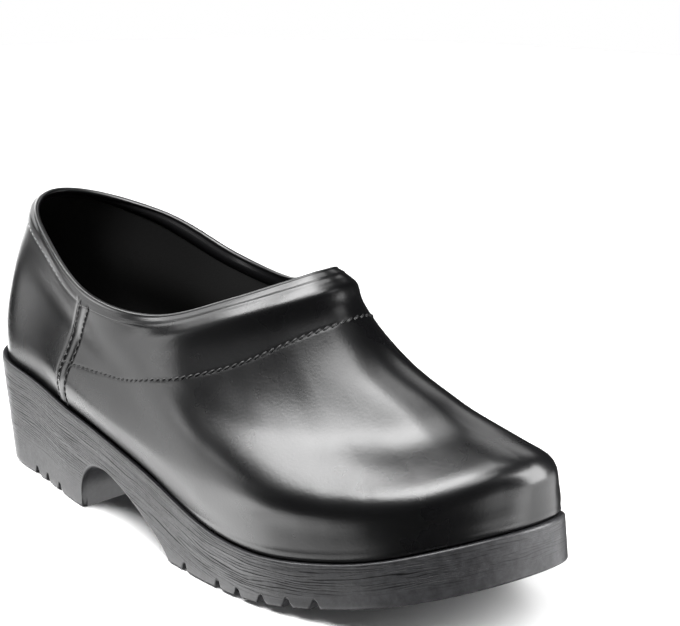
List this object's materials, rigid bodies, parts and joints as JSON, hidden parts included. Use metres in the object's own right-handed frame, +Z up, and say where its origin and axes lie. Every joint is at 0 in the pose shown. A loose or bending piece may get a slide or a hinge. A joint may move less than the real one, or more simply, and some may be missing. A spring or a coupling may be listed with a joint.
{
  "type": "clog",
  "caption": "Closed-back work clog, right shoe: smooth leather upper with a lapped vamp and bound collar, on a thick moulded sole with a raised heel, open arch, toe spring and lugged tread.",
  "frame": {"origin": "on the floor, under the middle of the shoe's bounding box", "axes": "+X to the toe, +Y to the medial (inner) side, +Z up"},
  "size_m": [0.287, 0.101, 0.119],
  "materials": {
    "sole_polyurethane": "moulded dark grey polyurethane, fine wood-grain lines on the side, satin",
    "insole_lining": "black brushed lining, matte",
    "upper_leather": "smooth black leather, polished, faint grain",
    "binding_leather": "thin black binding leather, satin"
  },
  "bodies": {
    "root": {"sole": "sole_polyurethane", "insole": "insole_lining", "upper": "upper_leather", "collar_binding": "binding_leather"}
  },
  "joints": []
}
